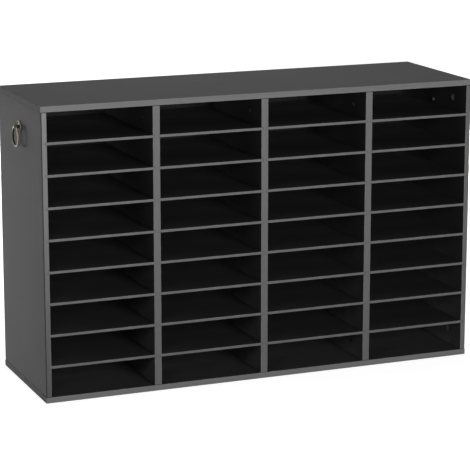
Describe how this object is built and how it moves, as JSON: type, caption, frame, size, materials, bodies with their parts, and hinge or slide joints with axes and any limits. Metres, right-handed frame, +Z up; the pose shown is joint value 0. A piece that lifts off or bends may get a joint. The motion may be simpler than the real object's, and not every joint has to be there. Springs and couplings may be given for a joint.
{
  "type": "pigeonhole mail sorter",
  "caption": "Wide desk-top pigeonhole mail sorter in charcoal board, with equal open pigeonholes, thin shelves that slide out and a hanging ring pull on each side.",
  "frame": {"origin": "middle of the footprint, on the surface that the case stands on", "axes": "+Z up, the open front faces -Y, +X runs along the width to the right as seen from the front"},
  "size_m": [0.9876, 0.304, 0.6099],
  "materials": {
    "charcoal_board": "charcoal melamine-faced board with matching edge band, matt",
    "charcoal_shelf": "thin charcoal laminated board, matt",
    "black_hardboard": "black-faced hardboard, matt",
    "aged_brass": "aged brass, dark patina with rubbed highlights",
    "aged_brass_ring": "aged brass, rubbed bright where fingers touch it",
    "zinc_cam": "die-cast zinc",
    "steel_bolt": "zinc-plated steel",
    "beech_dowel": "plain beech, fluted by rolling",
    "steel_pin": "bright steel",
    "nickel_screw": "nickel-plated steel",
    "nickel_washer": "nickel-plated steel"
  },
  "bodies": {
    "cabinet": {"bottom_panel": "charcoal_board", "top_panel": "charcoal_board", "left_side_panel": "charcoal_board", "divider_1": "charcoal_board", "divider_2": "charcoal_board", "divider_3": "charcoal_board", "right_side_panel": "charcoal_board", "back_panel": "black_hardboard", "left_pull_rosette": "aged_brass", "left_pull_post": "aged_brass", "right_pull_rosette": "aged_brass", "right_pull_post": "aged_brass", "cam_locks": "zinc_cam", "cam_bolts": "steel_bolt", "dowels": "beech_dowel", "back_panel_pins": "steel_pin", "ring_pull_screws": "nickel_screw", "ring_pull_washers": "nickel_washer"},
    "left_ring": {"left_pull_ring": "aged_brass_ring"},
    "right_ring": {"right_pull_ring": "aged_brass_ring"},
    "shelf_c1_r1": {"shelf_c1_r1": "charcoal_shelf"},
    "shelf_c1_r2": {"shelf_c1_r2": "charcoal_shelf"},
    "shelf_c1_r3": {"shelf_c1_r3": "charcoal_shelf"},
    "shelf_c1_r4": {"shelf_c1_r4": "charcoal_shelf"},
    "shelf_c1_r5": {"shelf_c1_r5": "charcoal_shelf"},
    "shelf_c1_r6": {"shelf_c1_r6": "charcoal_shelf"},
    "shelf_c1_r7": {"shelf_c1_r7": "charcoal_shelf"},
    "shelf_c1_r8": {"shelf_c1_r8": "charcoal_shelf"},
    "shelf_c2_r1": {"shelf_c2_r1": "charcoal_shelf"},
    "shelf_c2_r2": {"shelf_c2_r2": "charcoal_shelf"},
    "shelf_c2_r3": {"shelf_c2_r3": "charcoal_shelf"},
    "shelf_c2_r4": {"shelf_c2_r4": "charcoal_shelf"},
    "shelf_c2_r5": {"shelf_c2_r5": "charcoal_shelf"},
    "shelf_c2_r6": {"shelf_c2_r6": "charcoal_shelf"},
    "shelf_c2_r7": {"shelf_c2_r7": "charcoal_shelf"},
    "shelf_c2_r8": {"shelf_c2_r8": "charcoal_shelf"},
    "shelf_c3_r1": {"shelf_c3_r1": "charcoal_shelf"},
    "shelf_c3_r2": {"shelf_c3_r2": "charcoal_shelf"},
    "shelf_c3_r3": {"shelf_c3_r3": "charcoal_shelf"},
    "shelf_c3_r4": {"shelf_c3_r4": "charcoal_shelf"},
    "shelf_c3_r5": {"shelf_c3_r5": "charcoal_shelf"},
    "shelf_c3_r6": {"shelf_c3_r6": "charcoal_shelf"},
    "shelf_c3_r7": {"shelf_c3_r7": "charcoal_shelf"},
    "shelf_c3_r8": {"shelf_c3_r8": "charcoal_shelf"},
    "shelf_c4_r1": {"shelf_c4_r1": "charcoal_shelf"},
    "shelf_c4_r2": {"shelf_c4_r2": "charcoal_shelf"},
    "shelf_c4_r3": {"shelf_c4_r3": "charcoal_shelf"},
    "shelf_c4_r4": {"shelf_c4_r4": "charcoal_shelf"},
    "shelf_c4_r5": {"shelf_c4_r5": "charcoal_shelf"},
    "shelf_c4_r6": {"shelf_c4_r6": "charcoal_shelf"},
    "shelf_c4_r7": {"shelf_c4_r7": "charcoal_shelf"},
    "shelf_c4_r8": {"shelf_c4_r8": "charcoal_shelf"}
  },
  "joints": [
    {"name": "left_ring_swing", "type": "hinge", "parent": "cabinet", "child": "left_ring", "pos_m": [-0.4885, -0.002, 0.5469], "axis": [0, 1, 0], "range_deg": [-9, 189]},
    {"name": "right_ring_swing", "type": "hinge", "parent": "cabinet", "child": "right_ring", "pos_m": [0.4885, -0.002, 0.5469], "axis": [0, -1, 0], "range_deg": [-9, 189]},
    {"name": "shelf_c1_r1_slide", "type": "slide", "parent": "cabinet", "child": "shelf_c1_r1", "axis": [0, -1, 0], "range_m": [0, 0.29]},
    {"name": "shelf_c1_r2_slide", "type": "slide", "parent": "cabinet", "child": "shelf_c1_r2", "axis": [0, -1, 0], "range_m": [0, 0.29]},
    {"name": "shelf_c1_r3_slide", "type": "slide", "parent": "cabinet", "child": "shelf_c1_r3", "axis": [0, -1, 0], "range_m": [0, 0.29]},
    {"name": "shelf_c1_r4_slide", "type": "slide", "parent": "cabinet", "child": "shelf_c1_r4", "axis": [0, -1, 0], "range_m": [0, 0.29]},
    {"name": "shelf_c1_r5_slide", "type": "slide", "parent": "cabinet", "child": "shelf_c1_r5", "axis": [0, -1, 0], "range_m": [0, 0.29]},
    {"name": "shelf_c1_r6_slide", "type": "slide", "parent": "cabinet", "child": "shelf_c1_r6", "axis": [0, -1, 0], "range_m": [0, 0.29]},
    {"name": "shelf_c1_r7_slide", "type": "slide", "parent": "cabinet", "child": "shelf_c1_r7", "axis": [0, -1, 0], "range_m": [0, 0.29]},
    {"name": "shelf_c1_r8_slide", "type": "slide", "parent": "cabinet", "child": "shelf_c1_r8", "axis": [0, -1, 0], "range_m": [0, 0.29]},
    {"name": "shelf_c2_r1_slide", "type": "slide", "parent": "cabinet", "child": "shelf_c2_r1", "axis": [0, -1, 0], "range_m": [0, 0.29]},
    {"name": "shelf_c2_r2_slide", "type": "slide", "parent": "cabinet", "child": "shelf_c2_r2", "axis": [0, -1, 0], "range_m": [0, 0.29]},
    {"name": "shelf_c2_r3_slide", "type": "slide", "parent": "cabinet", "child": "shelf_c2_r3", "axis": [0, -1, 0], "range_m": [0, 0.29]},
    {"name": "shelf_c2_r4_slide", "type": "slide", "parent": "cabinet", "child": "shelf_c2_r4", "axis": [0, -1, 0], "range_m": [0, 0.29]},
    {"name": "shelf_c2_r5_slide", "type": "slide", "parent": "cabinet", "child": "shelf_c2_r5", "axis": [0, -1, 0], "range_m": [0, 0.29]},
    {"name": "shelf_c2_r6_slide", "type": "slide", "parent": "cabinet", "child": "shelf_c2_r6", "axis": [0, -1, 0], "range_m": [0, 0.29]},
    {"name": "shelf_c2_r7_slide", "type": "slide", "parent": "cabinet", "child": "shelf_c2_r7", "axis": [0, -1, 0], "range_m": [0, 0.29]},
    {"name": "shelf_c2_r8_slide", "type": "slide", "parent": "cabinet", "child": "shelf_c2_r8", "axis": [0, -1, 0], "range_m": [0, 0.29]},
    {"name": "shelf_c3_r1_slide", "type": "slide", "parent": "cabinet", "child": "shelf_c3_r1", "axis": [0, -1, 0], "range_m": [0, 0.29]},
    {"name": "shelf_c3_r2_slide", "type": "slide", "parent": "cabinet", "child": "shelf_c3_r2", "axis": [0, -1, 0], "range_m": [0, 0.29]},
    {"name": "shelf_c3_r3_slide", "type": "slide", "parent": "cabinet", "child": "shelf_c3_r3", "axis": [0, -1, 0], "range_m": [0, 0.29]},
    {"name": "shelf_c3_r4_slide", "type": "slide", "parent": "cabinet", "child": "shelf_c3_r4", "axis": [0, -1, 0], "range_m": [0, 0.29]},
    {"name": "shelf_c3_r5_slide", "type": "slide", "parent": "cabinet", "child": "shelf_c3_r5", "axis": [0, -1, 0], "range_m": [0, 0.29]},
    {"name": "shelf_c3_r6_slide", "type": "slide", "parent": "cabinet", "child": "shelf_c3_r6", "axis": [0, -1, 0], "range_m": [0, 0.29]},
    {"name": "shelf_c3_r7_slide", "type": "slide", "parent": "cabinet", "child": "shelf_c3_r7", "axis": [0, -1, 0], "range_m": [0, 0.29]},
    {"name": "shelf_c3_r8_slide", "type": "slide", "parent": "cabinet", "child": "shelf_c3_r8", "axis": [0, -1, 0], "range_m": [0, 0.29]},
    {"name": "shelf_c4_r1_slide", "type": "slide", "parent": "cabinet", "child": "shelf_c4_r1", "axis": [0, -1, 0], "range_m": [0, 0.29]},
    {"name": "shelf_c4_r2_slide", "type": "slide", "parent": "cabinet", "child": "shelf_c4_r2", "axis": [0, -1, 0], "range_m": [0, 0.29]},
    {"name": "shelf_c4_r3_slide", "type": "slide", "parent": "cabinet", "child": "shelf_c4_r3", "axis": [0, -1, 0], "range_m": [0, 0.29]},
    {"name": "shelf_c4_r4_slide", "type": "slide", "parent": "cabinet", "child": "shelf_c4_r4", "axis": [0, -1, 0], "range_m": [0, 0.29]},
    {"name": "shelf_c4_r5_slide", "type": "slide", "parent": "cabinet", "child": "shelf_c4_r5", "axis": [0, -1, 0], "range_m": [0, 0.29]},
    {"name": "shelf_c4_r6_slide", "type": "slide", "parent": "cabinet", "child": "shelf_c4_r6", "axis": [0, -1, 0], "range_m": [0, 0.29]},
    {"name": "shelf_c4_r7_slide", "type": "slide", "parent": "cabinet", "child": "shelf_c4_r7", "axis": [0, -1, 0], "range_m": [0, 0.29]},
    {"name": "shelf_c4_r8_slide", "type": "slide", "parent": "cabinet", "child": "shelf_c4_r8", "axis": [0, -1, 0], "range_m": [0, 0.29]}
  ]
}
